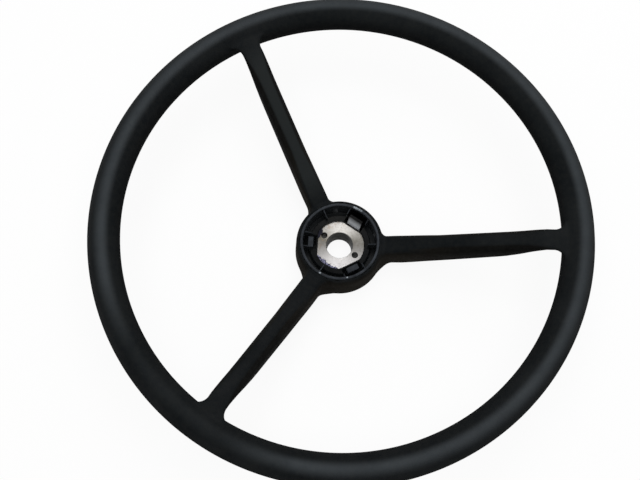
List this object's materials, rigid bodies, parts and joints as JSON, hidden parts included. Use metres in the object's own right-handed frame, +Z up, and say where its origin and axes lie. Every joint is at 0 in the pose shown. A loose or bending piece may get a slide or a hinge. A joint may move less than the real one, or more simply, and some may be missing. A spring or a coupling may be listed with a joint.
{
  "type": "steering wheel",
  "caption": "Dished steering wheel: a round black rim and blade spokes moulded in one with an open hub cup, around a bored steel hub boss.",
  "frame": {"origin": "centre of the hub's flat bottom face", "axes": "+Z up along the steering shaft, towards the driver; one spoke along +X"},
  "size_m": [0.4, 0.4, 0.0867],
  "materials": {
    "black_plastic": "satin moulded black plastic, worn, with dust in the hub's corners",
    "boss_steel": "turned mild steel, dull silvery beige, with scratches and a little rust"
  },
  "bodies": {
    "root": {"moulded_wheel": "black_plastic", "hub_boss": "boss_steel"}
  },
  "joints": []
}
